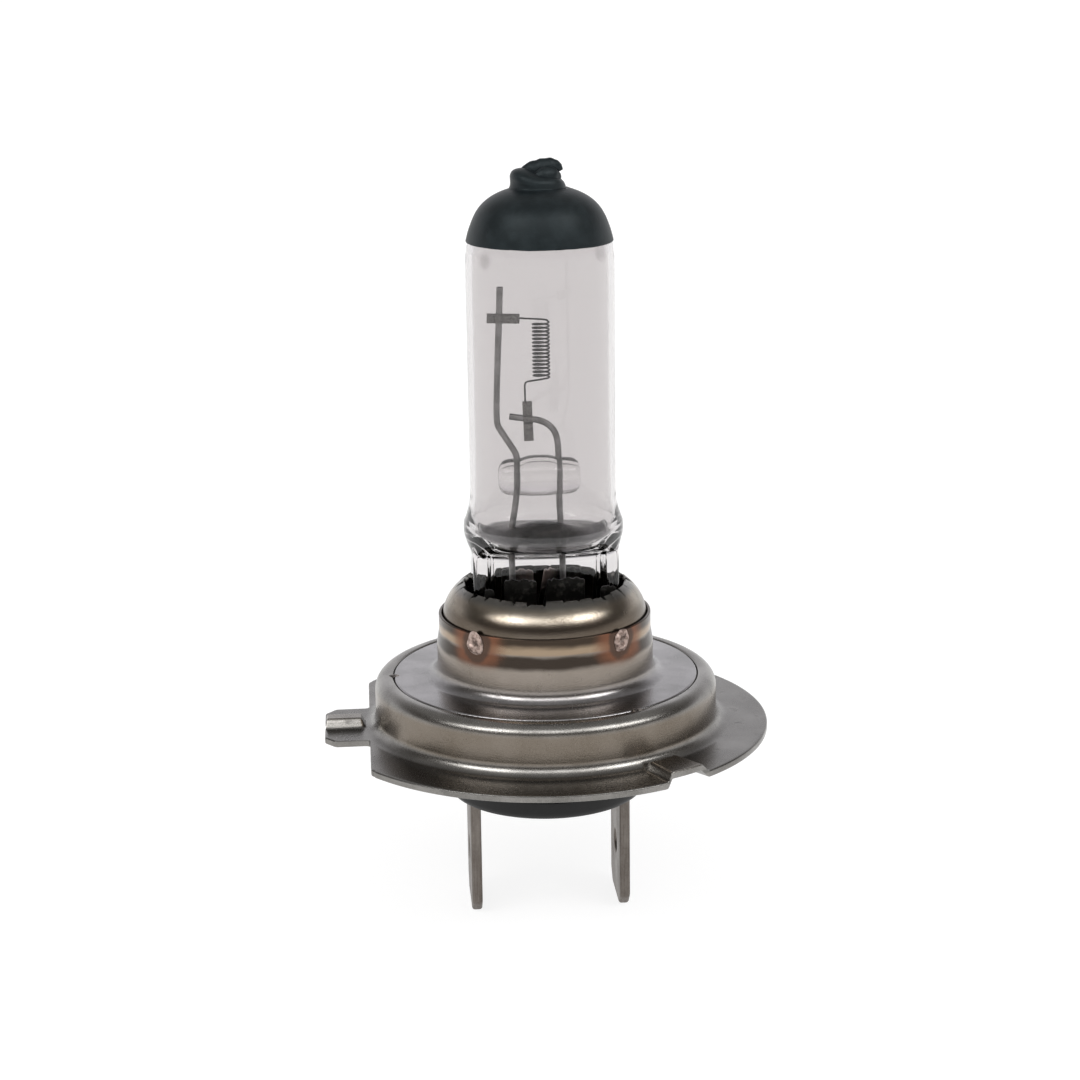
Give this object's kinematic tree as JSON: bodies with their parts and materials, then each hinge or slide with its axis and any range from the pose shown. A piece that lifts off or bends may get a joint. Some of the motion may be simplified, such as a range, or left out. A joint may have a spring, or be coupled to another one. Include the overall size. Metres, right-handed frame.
{
  "type": "headlight bulb",
  "caption": "Two-blade halogen headlight bulb: clear glass tube with a black coated dome, stamped steel collar and locating flange, black insulator, flat contact blades.",
  "frame": {"origin": "on the locating drum's axis, at the seating plane through the tops of the two bosses and the lug's rib", "axes": "+Z along the bulb to its tip, -X through the lug on the flange's straight side, the contact blades lie parallel to the YZ plane"},
  "size_m": [0.0338, 0.0338, 0.0574],
  "materials": {
    "stamped_steel": "satin drawn stainless sheet with warm brown heat tint round the welds",
    "weld_metal": "rough remelted metal",
    "spring_steel": "dark oxidised spring sheet",
    "clear_glass": "clear hard glass with a faint warm grey tint",
    "bead_glass": "clear fused glass rod",
    "black_coating": "matt blue-black baked antiglare coating",
    "tungsten": "grey drawn wire",
    "molybdenum": "dull grey drawn wire and strip",
    "black_plastic": "moulded, slightly satin",
    "blade_metal": "dulled plated strip with drawn lines"
  },
  "bodies": {
    "root": {"reference_flange": "stamped_steel", "carrier_cup": "stamped_steel", "carrier_welds": "weld_metal", "bulb_collar": "stamped_steel", "collar_welds": "weld_metal", "pinch_clamp": "spring_steel", "glass_envelope": "clear_glass", "antiglare_coating": "black_coating", "filament": "tungsten", "upper_filament_clamp": "molybdenum", "lower_filament_clamp": "molybdenum", "long_support_wire": "molybdenum", "short_support_wire": "molybdenum", "bridge_bead": "bead_glass", "insulator_base": "black_plastic", "left_blade": "blade_metal", "right_blade": "blade_metal"}
  },
  "joints": []
}
